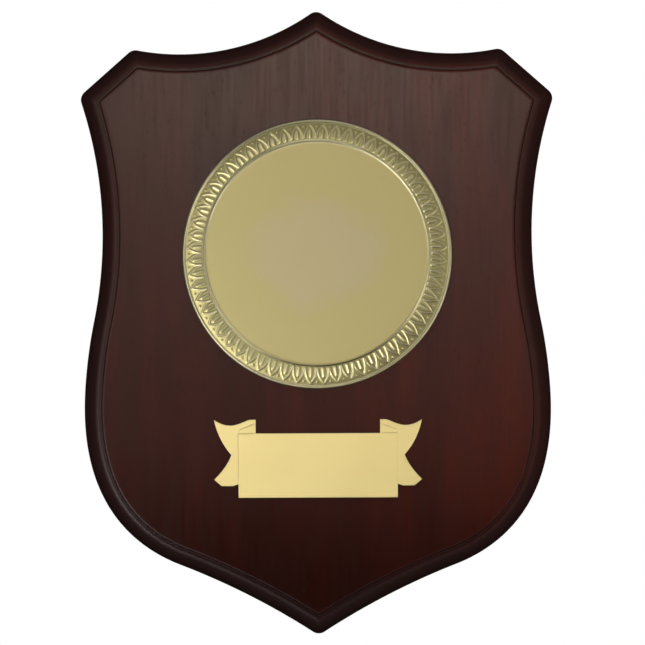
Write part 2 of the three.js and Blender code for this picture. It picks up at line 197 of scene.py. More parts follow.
class Finish:
    """A material under construction: short calls that add nodes and join them."""

    def __init__(self, name: str) -> None:
        """Starts a material that holds its surface shader and reads the place on the piece.

        Args:
            name: The material's name.
        """
        self.material = bpy.data.materials.new(name)
        self.material.use_nodes = True
        self.nodes = self.material.node_tree.nodes
        self.links = self.material.node_tree.links
        self.shader = self.nodes["Principled BSDF"]
        self.place = self.nodes.new("ShaderNodeTexCoord").outputs["Object"]

    def put(self, socket: Socket, value: object) -> None:
        """Joins an output to a socket, or sets the socket to a plain value.

        Args:
            socket: The input to join or to set.
            value: An output, a number or a colour.
        """
        if isinstance(value, Socket):
            self.links.new(value, socket)
        elif socket.type == "RGBA":
            socket.default_value = (*value, 1.0)
        else:
            socket.default_value = value

    def surface(self, **values: object) -> None:
        """Sets the shader's own sockets, named with _ for a blank."""
        for name, value in values.items():
            self.put(self.shader.inputs[name.replace("_", " ")], value)

    def stretched(self, x: float, y: float, z: float) -> Socket:
        """The place on the piece in pattern units.

        Args:
            x: Pattern units to a metre across.
            y: Pattern units to a metre from front to back.
            z: Pattern units to a metre upwards.

        Returns:
            The scaled place.
        """
        node = self.nodes.new("ShaderNodeMapping")
        node.inputs["Scale"].default_value = (x, y, z)
        self.put(node.inputs["Vector"], self.place)
        return node.outputs["Vector"]

    def noise(self, grain: Grain) -> Socket:
        """Soft noise, one blob to a pattern unit.

        Args:
            grain: How fine and how rich it is.

        Returns:
            A number from 0 to 1.
        """
        node = self.nodes.new("ShaderNodeTexNoise")
        node.inputs["Scale"].default_value = 1.0
        node.inputs["Detail"].default_value = grain.detail
        node.inputs["Roughness"].default_value = grain.roughness
        self.put(node.inputs["Vector"], self.stretched(grain.x, grain.y, grain.z))
        return node.outputs["Fac"]

    def cells(self, vector: Socket, output: str = "Distance") -> Socket:
        """Scattered cells, one to a pattern unit.

        Args:
            vector: The place in pattern units.
            output: Distance for the distance to the nearest centre, or Color for each cell's own.

        Returns:
            That output.
        """
        node = self.nodes.new("ShaderNodeTexVoronoi")
        node.inputs["Scale"].default_value = 1.0
        self.put(node.inputs["Vector"], vector)
        return node.outputs[output]

    def maths(self, operation: str, *values: object) -> Socket:
        """One sum.

        Args:
            operation: What is done, as the Math node names it.
            values: The numbers or outputs that it takes, in order.

        Returns:
            The answer.
        """
        node = self.nodes.new("ShaderNodeMath")
        node.operation = operation
        for socket, value in zip(node.inputs, values):
            self.put(socket, value)
        return node.outputs[0]

    def length(self, across: Socket, up: Socket) -> Socket:
        """The root of the sum of two squares."""
        squares = [self.maths("MULTIPLY", side, side) for side in (across, up)]
        return self.maths("SQRT", self.maths("ADD", *squares))

    def spread(self, value: Socket, ramp: Ramp) -> Socket:
        """Moves a number's range.

        Args:
            value: The number.
            ramp: The old range and the new one.

        Returns:
            The number in its new range, where it stays between the ends.
        """
        node = self.nodes.new("ShaderNodeMapRange")
        node.interpolation_type = "SMOOTHSTEP"
        numbers = (value, ramp.low, ramp.high, ramp.to_low, ramp.to_high)
        for socket, number in zip(node.inputs, numbers):
            self.put(socket, number)
        return node.outputs[0]

    def varied(self, noise: Socket, low: float, high: float) -> Socket:
        """Spreads a soft noise from low to high."""
        return self.spread(noise, Ramp(*NOISE_RANGE, low, high))

    def mixed(self, share: Socket, first: object, second: object) -> Socket:
        """A mix of two colours.

        Args:
            share: How much of the second colour there is, from 0 to 1.
            first: The colour at 0.
            second: The colour at 1.

        Returns:
            The mixed colour.
        """
        node = self.nodes.new("ShaderNodeMix")
        node.data_type = "RGBA"
        colours = [socket for socket in node.inputs if socket.type == "RGBA"]
        self.put(node.inputs["Factor"], share)
        self.put(colours[0], first)
        self.put(colours[1], second)
        return next(socket for socket in node.outputs if socket.type == "RGBA")

    def painted(self, name: str) -> Socket:
        """A number that the mesh holds at each point.

        Args:
            name: The number's name on the mesh.

        Returns:
            The number.
        """
        node = self.nodes.new("ShaderNodeAttribute")
        node.attribute_name = name
        return node.outputs["Fac"]

    def relief(self, height: Socket, depth: float) -> Socket:
        """A fine bump of the surface.

        Args:
            height: The height, in units of the depth.
            depth: How far a height of 1 stands out, in metres.

        Returns:
            The bumped normal.
        """
        node = self.nodes.new("ShaderNodeBump")
        node.inputs["Strength"].default_value = 1.0
        node.inputs["Distance"].default_value = depth
        self.put(node.inputs["Height"], height)
        return node.outputs["Normal"]

    def split(self, vector: Socket) -> tuple[Socket, ...]:
        """The three parts of a place or a colour.

        Args:
            vector: The place or the colour.

        Returns:
            Its x, y and z, or its red, green and blue.
        """
        node = self.nodes.new("ShaderNodeSeparateXYZ")
        self.put(node.inputs[0], vector)
        return tuple(node.outputs)


# Finishes


@dataclass(frozen=True)
class LacqueredWood:
    """Dark red-brown stained mahogany with its grain upright, under satin lacquer.

    The wood is darker, with a toned edge and painted shade, and the lacquer duller where the numbers
    painted on the mesh say so.
    """

    dark: Colour = (0.053, 0.0048, 0.0018)
    warm: Colour = (0.084, 0.0076, 0.0024)
    brown: Colour = (0.058, 0.0072, 0.0033)
    pore_colour: Colour = (0.012, 0.0022, 0.0012)
    stripes: Grain = Grain(75, 75, 8)
    stripe_shares: Ramp = Ramp(0.36, 0.66)
    clouds: Grain = Grain(48, 48, 26)
    cloud_shares: Ramp = Ramp(0.38, 0.66, 0.0, 0.7)
    fibres: Grain = Grain(700, 700, 45, 2.0, 0.6)
    fibre_shares: Ramp = Ramp(0.42, 0.75, 0.0, 0.22)
    waves: Grain = Grain(520, 520, 300, 1.0)
    wave_height: float = 0.7
    roughness: float = 0.2
    smoother_fibres: float = 0.015
    rougher_fibres: float = 0.02
    rougher_pores: float = 0.05
    gloss: float = 0.235
    pore_pitch: float = 1.3 * MM
    pore_rise: float = 3.4 * MM
    pore_shares: Ramp = Ramp(0.14, 0.36, 1.0, 0.0)
    pores_kept: Ramp = Ramp(0.62, 0.82)
    pore_depth: float = 0.003 * MM
    pore_strength: float = 0.35
    edge_roughness: float = 0.85
    # how much the toned edge with its painted shade darkens the wood
    toned_edge_shade_depth: float = 0.8
    # painted shade: how much darker the wood is made at the foot, where less light falls
    foot_painted_shade: float = 0.8
    foot_start: float = -35 * MM
    foot_end: float = -112 * MM
    side_width: float = 70 * MM
    side_depth: float = 0.36
    foot_polish: float = 0.07

    def make(self) -> bpy.types.Material:
        """The lacquered front, moulding and sides.

        Returns:
            The material: broad upright stripes of red and brown, fine streaks, and short dark
            pore flecks that dent the lacquer a little.
        """
        f = Finish("lacquered_mahogany")
        fibres = f.noise(self.fibres)
        pores = self.pores(f)
        waves = f.maths("MULTIPLY", f.noise(self.waves), self.wave_height)
        f.surface(
            Base_Color=self.colour_with_painted_shade(f, fibres, pores),
            Roughness=self.dullness(f, fibres, pores),
            Specular_IOR_Level=self.gloss,
            Normal=f.relief(f.maths("SUBTRACT", waves, pores), self.pore_depth),
        )
        return f.material

    def pores(self, f: Finish) -> Socket:
        """The pore flecks: long upright cells, of which a part is kept.

        Args:
            f: The material under construction.

        Returns:
            A number from 0 between the flecks to 1 in them.
        """
        place = f.stretched(1 / self.pore_pitch, 1 / self.pore_pitch, 1 / self.pore_rise)
        fleck = f.spread(f.cells(place), self.pore_shares)
        kept = f.spread(f.split(f.cells(place, "Color"))[0], self.pores_kept)
        return f.maths("MULTIPLY", fleck, kept)

    def colour_with_painted_shade(self, f: Finish, fibres: Socket, pores: Socket) -> Socket:
        """The stained wood's colour, with painted shade.

        Args:
            f: The material under construction.
            fibres: The fine streaks.
            pores: The pore flecks.

        Returns:
            Red stripes and brown clouds, darker in the streaks and towards the left side, with painted
            shade towards the foot, a toned edge and painted shade where the mesh is painted darker, and
            in the pores.
        """
        x, _, z = f.split(f.place)
        tone = f.mixed(f.spread(f.noise(self.stripes), self.stripe_shares), self.dark, self.warm)
        tone = f.mixed(f.spread(f.noise(self.clouds), self.cloud_shares), tone, self.brown)
        darker = [
            f.spread(fibres, self.fibre_shares),
            # painted shade towards the foot, where less light falls
            f.spread(z, Ramp(self.foot_end, self.foot_start, self.foot_painted_shade, 0.0)),
            f.spread(x, Ramp(-self.side_width, self.side_width, self.side_depth, 0.0)),
            # toned edge and painted shade on the moulding, where the mesh is painted so
            f.maths("MULTIPLY", f.painted(TONED_EDGE_AND_SHADE), self.toned_edge_shade_depth),
            f.maths("MULTIPLY", pores, self.pore_strength),
        ]
        for share in darker:
            tone = f.mixed(share, tone, self.pore_colour)
        return tone

    def dullness(self, f: Finish, fibres: Socket, pores: Socket) -> Socket:
        """The lacquer's roughness.

        Args:
            f: The material under construction.
            fibres: The fine streaks.
            pores: The pore flecks.

        Returns:
            The roughness: a little more in some streaks and in the pores, much more where the mesh
            is painted dull, and less towards the foot.
        """
        z = f.split(f.place)[2]
        smooth, rough = self.roughness - self.smoother_fibres, self.roughness + self.rougher_fibres
        dull = f.varied(fibres, smooth, rough)
        dull = f.maths("ADD", dull, f.maths("MULTIPLY", pores, self.rougher_pores))
        polish = f.spread(z, Ramp(self.foot_end, self.foot_start, self.foot_polish, 0.0))
        dull = f.maths("SUBTRACT", dull, polish)
        edge = f.maths("MULTIPLY", f.painted(EDGE_DULLNESS), self.edge_roughness - self.roughness)
        return f.maths("ADD", dull, edge)


@dataclass(frozen=True)
class PlainBack:
    """The back of the board: the same wood, stained and left without its lacquer."""

    dark: Colour = (0.045, 0.013, 0.008)
    pale: Colour = (0.085, 0.028, 0.016)
    stripes: Grain = Grain(45, 45, 6, 4.0, 0.6)
    stripe_shares: Ramp = Ramp(0.35, 0.65)
    fibres: Grain = Grain(900, 900, 40, 3.0, 0.6)
    fibre_shares: Ramp = Ramp(0.5, 0.8, 0.0, 0.55)
    least_roughness: float = 0.55
    most_roughness: float = 0.72
    fibre_depth: float = 0.08 * MM

    def make(self) -> bpy.types.Material:
        """The stained back: dry upright grain with open pores.

        Returns:
            The material.
        """
        f = Finish("stained_back")
        fibres = f.noise(self.fibres)
        tone = f.mixed(f.spread(f.noise(self.stripes), self.stripe_shares), self.dark, self.pale)
        f.surface(
            Base_Color=f.mixed(f.spread(fibres, self.fibre_shares), tone, self.dark),
            Roughness=f.varied(fibres, self.least_roughness, self.most_roughness),
            Normal=f.relief(fibres, self.fibre_depth),
        )
        return f.material


@dataclass(frozen=True)
class SatinGold:
    """The stamped disc's gold: ridges painted brighter and paler as highlight, hollows darker as shade,
    panel more matt.
    """

    gold: Colour = (0.555, 0.477, 0.221)
    painted_reflection: Colour = (0.555, 0.468, 0.285)
    # painted highlight and shade: the border's ridges take the lighter, paler gold and its hollows the
    # darker one
    ridge: Colour = (0.60, 0.54, 0.315)
    hollow: Colour = (0.43, 0.375, 0.165)
    ridge_shares: Ramp = Ramp(0.1, 0.9)
    panel_radius: float = 41.6 * MM
    panel_edge: float = 0.6 * MM
    centre_height: float = 25.7 * MM
    # painted reflection: the size of the pale mauve-grey oval in the panel's middle, how it fades, and
    # how its edge wobbles
    painted_reflection_across: float = 28 * MM
    painted_reflection_up: float = 22 * MM
    painted_reflection_shares: Ramp = Ramp(0.62, 1.15, 0.8, 0.0)
    painted_reflection_wobble: Grain = Grain(60, 60, 60)
    painted_reflection_wobble_swing: float = 0.12
    rolled: Grain = Grain(90, 90, 1500, 2.0, 0.6)
    rolled_depth: float = 0.0006 * MM
    border_roughness: float = 0.35
    panel_roughness: float = 0.42
    roughness_swing: float = 0.005

    def make(self) -> bpy.types.Material:
        """The disc's finish.

        Returns:
            The material: a satin panel with a painted reflection, a faint mauve-grey oval in its middle,
            fine rolled streaks, and a brighter stamped border with painted highlights on its ridges and
            painted shade in its hollows.
        """
        f = Finish("satin_gold")
        x, _, z = f.split(f.place)
        z = f.maths("SUBTRACT", z, self.centre_height)
        edge = Ramp(self.panel_radius, self.panel_radius + self.panel_edge, 1.0, 0.0)
        on_panel = f.spread(f.length(x, z), edge)
        # painted reflection: the panel turns mauve-grey in an oval in its middle, standing in for a
        # reflection of the camera
        oval = f.length(f.maths("DIVIDE", x, self.painted_reflection_across), f.maths("DIVIDE", z, self.painted_reflection_up))
        painted_reflection_wobble = f.varied(f.noise(self.painted_reflection_wobble), -self.painted_reflection_wobble_swing, self.painted_reflection_wobble_swing)
        painted_reflection_mask = f.spread(f.maths("ADD", oval, painted_reflection_wobble), self.painted_reflection_shares)
        panel = f.mixed(painted_reflection_mask, self.gold, self.painted_reflection)
        # painted highlight on the raised relief and painted shade in its hollows
        stamped = f.mixed(f.spread(f.painted(RAISED), self.ridge_shares), self.hollow, self.ridge)
        rolled = f.noise(self.rolled)
        rough = f.spread(on_panel, Ramp(0.0, 1.0, self.border_roughness, self.panel_roughness))
        streaks = f.varied(rolled, -self.roughness_swing, self.roughness_swing)
        f.surface(
            Base_Color=f.mixed(on_panel, stamped, panel),
            Metallic=1.0,
            Roughness=f.maths("ADD", rough, streaks),
            Normal=f.relief(rolled, self.rolled_depth),
        )
        return f.material


@dataclass(frozen=True)
class PaleGold:
    """The scroll's gold: lighter than the disc's, with a fine brushed grain along its length."""

    gold: Colour = (0.96, 0.79, 0.36)
    shade: Colour = (0.90, 0.73, 0.32)
    clouds: Grain = Grain(45, 45, 60)
    cloud_shares: Ramp = Ramp(0.3, 0.75, 0.0, 0.6)
    brushed: Grain = Grain(60, 60, 2600, 2.0, 0.6)
    brushed_depth: float = 0.001 * MM
    metal: float = 0.85
    roughness: float = 0.32
    roughness_swing: float = 0.03

    def make(self) -> bpy.types.Material:
        """The scroll's finish.

        Returns:
            The material.
        """
        f = Finish("pale_gold")
        brushed = f.noise(self.brushed)
        smooth, rough = self.roughness - self.roughness_swing, self.roughness + self.roughness_swing
        f.surface(
            Base_Color=f.mixed(f.spread(f.noise(self.clouds), self.cloud_shares), self.gold, self.shade),
            Metallic=self.metal,
            Roughness=f.varied(brushed, smooth, rough),
            Normal=f.relief(brushed, self.brushed_depth),
        )
        return f.material


@dataclass(frozen=True)
class PaleFloor:
    """The studio floor: a matt, nearly white sheet that glows a little, so it stays pale all over."""

    dark: Colour = (0.80, 0.79, 0.77)
    pale: Colour = (0.84, 0.83, 0.81)
    mottle: Grain = Grain(3, 3, 3)
    roughness: float = 0.8
    glow: Colour = (1.0, 0.98, 0.95)
    glow_strength: float = 0.6

    def make(self) -> bpy.types.Material:
        """The floor's finish.

        Returns:
            The material.
        """
        f = Finish("pale_floor")
        f.surface(
            Base_Color=f.mixed(f.noise(self.mottle), self.dark, self.pale),
            Roughness=self.roughness,
            Emission_Color=self.glow,
            Emission_Strength=self.glow_strength,
        )
        return f.material


# The board


@dataclass
class Stretch:
    """Evenly spaced samples between two corners of the outline, with the board on the right."""

    share: Points
    point: Points
    tangent: Points
    inward: Points

    def mirrored(self) -> "Stretch":
        """The same stretch on the other side of the middle, run the other way.

        Returns:
            The mirrored samples, in their new order, with the board still on the right.
        """
        flip = np.array([-1.0, 1.0])
        return Stretch(
            1.0 - self.share[::-1],
            self.point[::-1] * flip,
            self.tangent[::-1] * -flip,
            self.inward[::-1] * flip,
        )


@dataclass
class ShieldOutline:
    """The shield's outline as the frame has it, from named sizes, with finer curves.

    Each height runs from one corner or joint to the next, from the apex down, and each span goes
    across both sides. Corners are where the edges would meet if they weren't rounded.
    """

    inner_ear_height: float = 14.8 * MM
    outer_ear_height: float = 17.9 * MM
    flank_height: float = 85.1 * MM
    belly_height: float = 33.2 * MM
    bowl_height: float = 59.1 * MM
    keel_height: float = 26.9 * MM
    inner_ear_span: float = 139.0 * MM
    outer_ear_span: float = 179.5 * MM
    flank_end_span: float = 169.0 * MM
    belly_span: float = 176.3 * MM
    keel_span: float = 104.0 * MM
    top_edge_radius: float = 86.7 * MM
    flank_radius: float = 162.7 * MM
    keel_radius: float = 278.0 * MM
    flank_end_pull: float = 12.4 * MM
    belly_top_pull: float = 8.7 * MM
    belly_foot_pull: float = 33.9 * MM
    keel_pull: float = 21.6 * MM
    corner_radius: float = 4.0 * MM
    field_corner_radius: float = 0.6 * MM
    fine: int = 400
    top_steps: int = 60
    ear_steps: int = 16
    side_steps: int = 230
    corner_steps: int = 10
    stretches: list[Stretch] = field(init=False)

    def __post_init__(self) -> None:
        """Works out the six stretches, clockwise from the apex."""
        heights = [
            self.inner_ear_height,
            self.outer_ear_height,
            self.flank_height,
            self.belly_height,
            self.bowl_height,
            self.keel_height,
        ]
        top = sum(heights) / 2
        levels = top - np.concatenate([[0.0], np.cumsum(heights)])
        spans = [
            0.0,
            self.inner_ear_span,
            self.outer_ear_span,
            self.flank_end_span,
            self.belly_span,
            self.keel_span,
            0.0,
        ]
        apex, inner, outer, flank, belly, keel, tip = np.stack([np.array(spans) / 2, levels], axis=1)
        side = self.arc(outer, flank, self.flank_radius)
        foot = self.arc(keel, tip, self.keel_radius)
        down = np.array([0.0, -1.0])
        upper = self.bezier(
            flank,
            flank + self.tangent(side)[-1] * self.flank_end_pull,
            belly - down * self.belly_top_pull,
            belly,
        )
        bowl = self.bezier(
            belly,
            belly + down * self.belly_foot_pull,
            keel - self.tangent(foot)[0] * self.keel_pull,
            keel,
        )
        half = [
            self.stretch([self.arc(apex, inner, self.top_edge_radius)], self.top_steps),
            self.stretch([np.linspace(inner, outer, self.fine)], self.ear_steps),
            self.stretch([side, upper, bowl, foot], self.side_steps),
        ]
        self.stretches = half + [part.mirrored() for part in reversed(half)]

    def arc(self, start: Points, end: Points, radius: float) -> Points:
        """Points of a hollow arc whose centre lies on the left of the way.

        Args:
            start: Where the arc starts.
            end: Where it ends.
            radius: Its radius.

        Returns:
            The points, evenly spaced: the centre plus the radius turned from start to end.
        """
        way = end - start
        rise = math.sqrt(radius**2 - way @ way / 4)
        left = np.array([-way[1], way[0]]) / np.linalg.norm(way)
        centre = (start + end) / 2 + left * rise
        first, last = (math.atan2(*(spot - centre)[::-1]) for spot in (start, end))
        last += 2 * math.pi * (last < first)
        angle = np.linspace(first, last, self.fine)
        return centre + radius * np.stack([np.cos(angle), np.sin(angle)], axis=1)

    def bezier(self, *corners: Points) -> Points:
        """Points of a cubic curve.

        Args:
            corners: Its two ends and, between them, the two corners that pull it.

        Returns:
            The points: the four corners, weighted by the cubic's shares.
        """
        t = np.linspace(0.0, 1.0, self.fine)[:, None]
        weights = [(1 - t) ** 3, 3 * t * (1 - t) ** 2, 3 * t**2 * (1 - t), t**3]
        return sum(weight * corner for weight, corner in zip(weights, corners))

    @staticmethod
    def tangent(points: Points) -> Points:
        """The direction along a line of points, of length 1."""
        way = np.gradient(points, axis=0)
        return way / np.linalg.norm(way, axis=1, keepdims=True)

    def stretch(self, curves: list[Points], steps: int) -> Stretch:
        """Joins curves end to end and samples them evenly.

        Args:
            curves: The curves' points, each starting where the last one ends.
            steps: How many steps to take.

        Returns:
            The samples.
        """
        line = np.concatenate([curves[0], *(curve[1:] for curve in curves[1:])])
        way = np.concatenate([self.tangent(curve)[i > 0 :] for i, curve in enumerate(curves)])
        gone = np.concatenate([[0.0], np.cumsum(np.linalg.norm(np.diff(line, axis=0), axis=1))])
        at = np.linspace(0.0, gone[-1], steps + 1)
        point, tangent = (
            np.column_stack([np.interp(at, gone, axis) for axis in values.T]) for values in (line, way)
        )
        tangent /= np.linalg.norm(tangent, axis=1, keepdims=True)
        inward = np.stack([tangent[:, 1], -tangent[:, 0]], axis=1)
        return Stretch(at / gone[-1], point, tangent, inward)

    def inset(self, inset: float) -> Points:
        """The outline moved inwards, anticlockwise seen from the front.

        Each corner is an arc whose radius shrinks with the inset, down to the nearly sharp corner of
        the field, and each stretch is shortened to meet the arcs by a shift along its tangents that
        fades from one end to the other.

        Args:
            inset: How far inwards, in metres.

        Returns:
            Rows of x and z.
        """
        radius = max(self.corner_radius - inset, self.field_corner_radius)
        reach = inset + radius
        turns = [
            math.acos(min(1.0, float(part.inward[-1] @ after.inward[0])))
            for part, after in zip(self.stretches, self.stretches[1:] + self.stretches[:1])
        ]
        outline = []
        for i, part in enumerate(self.stretches):
            start_turn, end_turn = math.tan(turns[i - 1] / 2), math.tan(turns[i] / 2)
            shift = reach * (start_turn * (1 - part.share) - end_turn * part.share)
            outline.append(part.point + part.inward * inset + part.tangent * shift[:, None])
            centre = part.point[-1] + reach * (part.inward[-1] - part.tangent[-1] * end_turn)
            angle = -turns[i] * np.arange(1, self.corner_steps)[:, None] / self.corner_steps
            spoke = part.inward[-1]
            turned = np.concatenate(
                [
                    spoke[0] * np.cos(angle) - spoke[1] * np.sin(angle),
                    spoke[0] * np.sin(angle) + spoke[1] * np.cos(angle),
                ],
                axis=1,
            )
            outline.append(centre - radius * turned)
        return np.concatenate(outline)[::-1]


@dataclass
class ShieldBoard:
    """The moulded board: flat back with a hanging slot, plain side, quarter-round, fillet, field.

    Its mesh also holds numbers that tell the finish where a toned edge and painted shade darken it, and
    where the lacquer is dull.
    """

    outline: ShieldOutline = field(default_factory=ShieldOutline)
    thickness: float = -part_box("shield_board")[0].y
    back_ease: float = 0.6 * MM
    ovolo_width: float = 6.4 * MM
    ovolo_height: float = 6.4 * MM
    fillet_height: float = 1.0 * MM
    quirk_width: float = 0.15 * MM
    fillet_slope: float = 0.3 * MM
    field_ease_width: float = 0.9 * MM
    field_ease_drop: float = 0.07 * MM
    ovolo_fullness: float = 2.5
    dull_start: float = 3.4 * MM
    dull_end: float = 5.8 * MM
    arris_dullness: float = 0.3
    # toned edge with painted shade over the whole moulding, fading out across the fillet
    crest_tone_and_shade: float = 0.45
    support: float = 0.25 * MM
    ovolo_steps: int = 22
    ease_steps: int = 8
    screw_head_width: float = 9.6 * MM
    screw_shank_width: float = 5.0 * MM
    slot_travel: float = 12.0 * MM
    slot_lip: float = 3.0 * MM
    slot_depth: float = 9.0 * MM
    slot_drop: float = 46.0 * MM
    slot_steps: int = 24
    slot_margin: float = 1.0 * MM
    back_margin: float = 0.01 * MM
    crease: float = 38.0

    def section(self) -> Points:
        """The section as rows of inset and height above the wall, from the back round to the field.

        Returns:
            Two columns: a quarter circle at the back's edge, the moulding, and a flat quarter
            ellipse at the field's edge. The moulding is a quarter ellipse made a little fuller: the
            sine and the cosine along it are raised to a power below 1.
        """
        ease = np.linspace(0.0, math.pi / 2, self.ease_steps)
        quarter = np.linspace(0.0, math.pi / 2, self.ovolo_steps)
        foot = self.thickness - self.fillet_height - self.ovolo_height
        back = self.back_ease * np.column_stack([1 - np.sin(ease), 1 - np.cos(ease)])
        power = 2 / self.ovolo_fullness
        ovolo = np.column_stack(
            [
                self.ovolo_width * (1 - np.cos(quarter) ** power),
                foot + self.ovolo_height * np.sin(quarter) ** power,
            ]
        )
        riser = self.ovolo_width + self.quirk_width
        crest = riser + self.fillet_slope
        arris = np.column_stack(
            [
                crest + self.field_ease_width * (1 - np.cos(ease)),
                self.thickness - self.field_ease_drop * (1 - np.sin(ease)),
            ]
        )
        return np.concatenate(
            [
                [[self.back_ease + self.support, 0.0]],
                back,
                [[0.0, foot / 2]],
                ovolo,
                [[riser, foot + self.ovolo_height]],
                arris,
                [[crest + self.field_ease_width + self.support, self.thickness]],
            ]
        )

    def painting(self, inset: Points) -> dict[str, Points]:
        """What is painted on each row of the section.

        Args:
            inset: The rows' distances inside the outline.

        Returns:
            Shares from 0 to 1 for each painted name. The darkening, a toned edge with painted shade, is
            full on the moulding's outer part, where it turns from the light, and painted shade in its
            quirk, and partly on its crest. The lacquer is dull on the outer part, and a little on the
            edge of the field.
        """
        riser = self.ovolo_width + self.quirk_width
        crest = riser + self.fillet_slope
        outer = 1.0 - smooth_step(inset, self.dull_start, self.dull_end)
        # toned edge and painted shade over the moulding, fading out towards the crest
        moulded = self.crest_tone_and_shade * (1.0 - smooth_step(inset, self.ovolo_width, crest))
        # painted shade in the quirk, where the crease lies in shade
        quirk = 1.0 - smooth_step(np.abs(inset - riser), 0.0, self.quirk_width + self.fillet_slope)
        arris = 1.0 - smooth_step(np.abs(inset - crest), 0.0, self.field_ease_width)
        return {
            TONED_EDGE_AND_SHADE: np.maximum.reduce([outer, moulded, quirk]),
            EDGE_DULLNESS: np.maximum(outer, self.arris_dullness * arris),
        }

    def slot_row(self, width: float, narrow: float) -> Points:
        """Half of an upright slot's outline with round ends, from its foot up its right side.

        Args:
            width: The width of the round way in at the foot.
            narrow: The width of the slot above it.

        Returns:
            Rows of x and z, from the middle of the foot to the middle of the top.
        """
        low = self.outline.stretches[0].point[0, 1] - self.slot_drop - self.slot_travel
        meet = math.asin(narrow / width)
        foot = np.linspace(0.0, math.pi - meet, self.slot_steps)[:, None]
        head = np.linspace(math.pi / 2, math.pi, self.slot_steps)[:, None]
        lower = np.concatenate([np.sin(foot), -np.cos(foot)], axis=1) * width / 2
        upper = np.concatenate([np.sin(head), -np.cos(head)], axis=1) * narrow / 2
        upper = upper + np.array([0.0, self.slot_travel])
        return np.concatenate([lower, upper]) + np.array([0.0, low])

    def build(self) -> bpy.types.Object:
        """Builds the board and dresses it.

        Returns:
            The piece, which stands for the frame's board.
        """
        section = self.section()
        fit = self.fit()
        rows = np.stack([stand(self.outline.inset(inset) * fit, height) for inset, height in section])
        count = rows.shape[1]
        faces = ring_quads(len(section), count).tolist()
        faces.append((np.arange(count) + (len(section) - 1) * count).tolist())
        points = [rows.reshape(-1, 3)]
        back_faces, slot_points, slot_faces = self.back(rows[0], rows.size // 3)
        faces += back_faces + slot_faces
        points.append(slot_points)
        mesh = make_mesh("moulded_shield_board", np.concatenate(points), faces)
        for name, shares in self.painting(section[:, 0]).items():
            values = np.zeros(len(mesh.vertices), dtype=np.float32)
            values[: len(section) * count] = np.repeat(shares, count)
            mesh.attributes.new(name, "FLOAT", "POINT").data.foreach_set("value", values)
        piece = make_piece(mesh, self.crease)
        mesh.materials.append(LacqueredWood().make())
        mesh.materials.append(PlainBack().make())
        centres = np.empty(len(mesh.polygons) * 3)
        mesh.polygons.foreach_get("center", centres)
        centres = centres.reshape(-1, 3)
        inner = np.abs(centres[:, 0]) < self.screw_head_width
        in_slot = inner & (centres[:, 1] > -self.slot_depth - self.slot_margin) & (centres[:, 2] > 0)
        behind = (centres[:, 1] > -self.back_margin) | in_slot
        mesh.polygons.foreach_set("material_index", behind.astype(np.int32))
        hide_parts("shield_board")
        return piece

    def fit(self) -> Points:
        """How much the finer outline shrinks to stay inside the frame's box.

        Returns:
            The shares of x and z, each 1 or a little less.
        """
        low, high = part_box("shield_board")
        outer = self.outline.inset(0.0)
        frame_half = np.array([high.x, min(high.z, -low.z)])
        return np.minimum(1.0, frame_half / np.abs(outer).max(axis=0))

    def back(self, rim: Points, start: int) -> tuple[list[list[int]], Points, list[list[int]]]:
        """The flat back on both sides of the slot, and the slot cut into it.

        Args:
            rim: The back's own outline, anticlockwise seen from the front.
            start: The number that the slot's first point gets.

        Returns:
            The back's two faces, the slot's points and the slot's faces.
        """
        keyhole = self.slot_row(self.screw_head_width, self.screw_shank_width)
        wide = self.slot_row(self.screw_head_width, self.screw_head_width)
        rows = [
            (keyhole, 0.0),
            (keyhole, self.slot_lip),
            (wide, self.slot_lip),
            (wide, self.slot_depth),
        ]
        half = len(keyhole)
        loops = [
            np.concatenate([stand(row, height), stand(row * [-1, 1], height)[-2:0:-1]])
            for row, height in rows
        ]
        ring = len(loops[0])
        points = np.concatenate(loops)
        walls = ring_quads(len(rows), ring, start)[:, ::-1].tolist()
        floor = (start + (len(rows) - 1) * ring + np.arange(ring))[::-1].tolist()
        top = int(np.argmax(rim[:, 2]))
        tip = int(np.argmin(rim[:, 2]))
        order = np.roll(np.arange(len(rim)), -top)
        reach = int(np.where(order == tip)[0][0])
        left, right = order[: reach + 1], np.append(order[reach:], order[0])
        slot_right = start + np.arange(half)
        slot_left = start + np.concatenate([[0], np.arange(ring - 1, half - 2, -1)])
        left_face = np.concatenate([left, slot_left])[::-1]
        right_face = np.concatenate([right, slot_right[::-1]])[::-1]
        return [left_face.tolist(), right_face.tolist()], points, walls + [floor]


# The disc


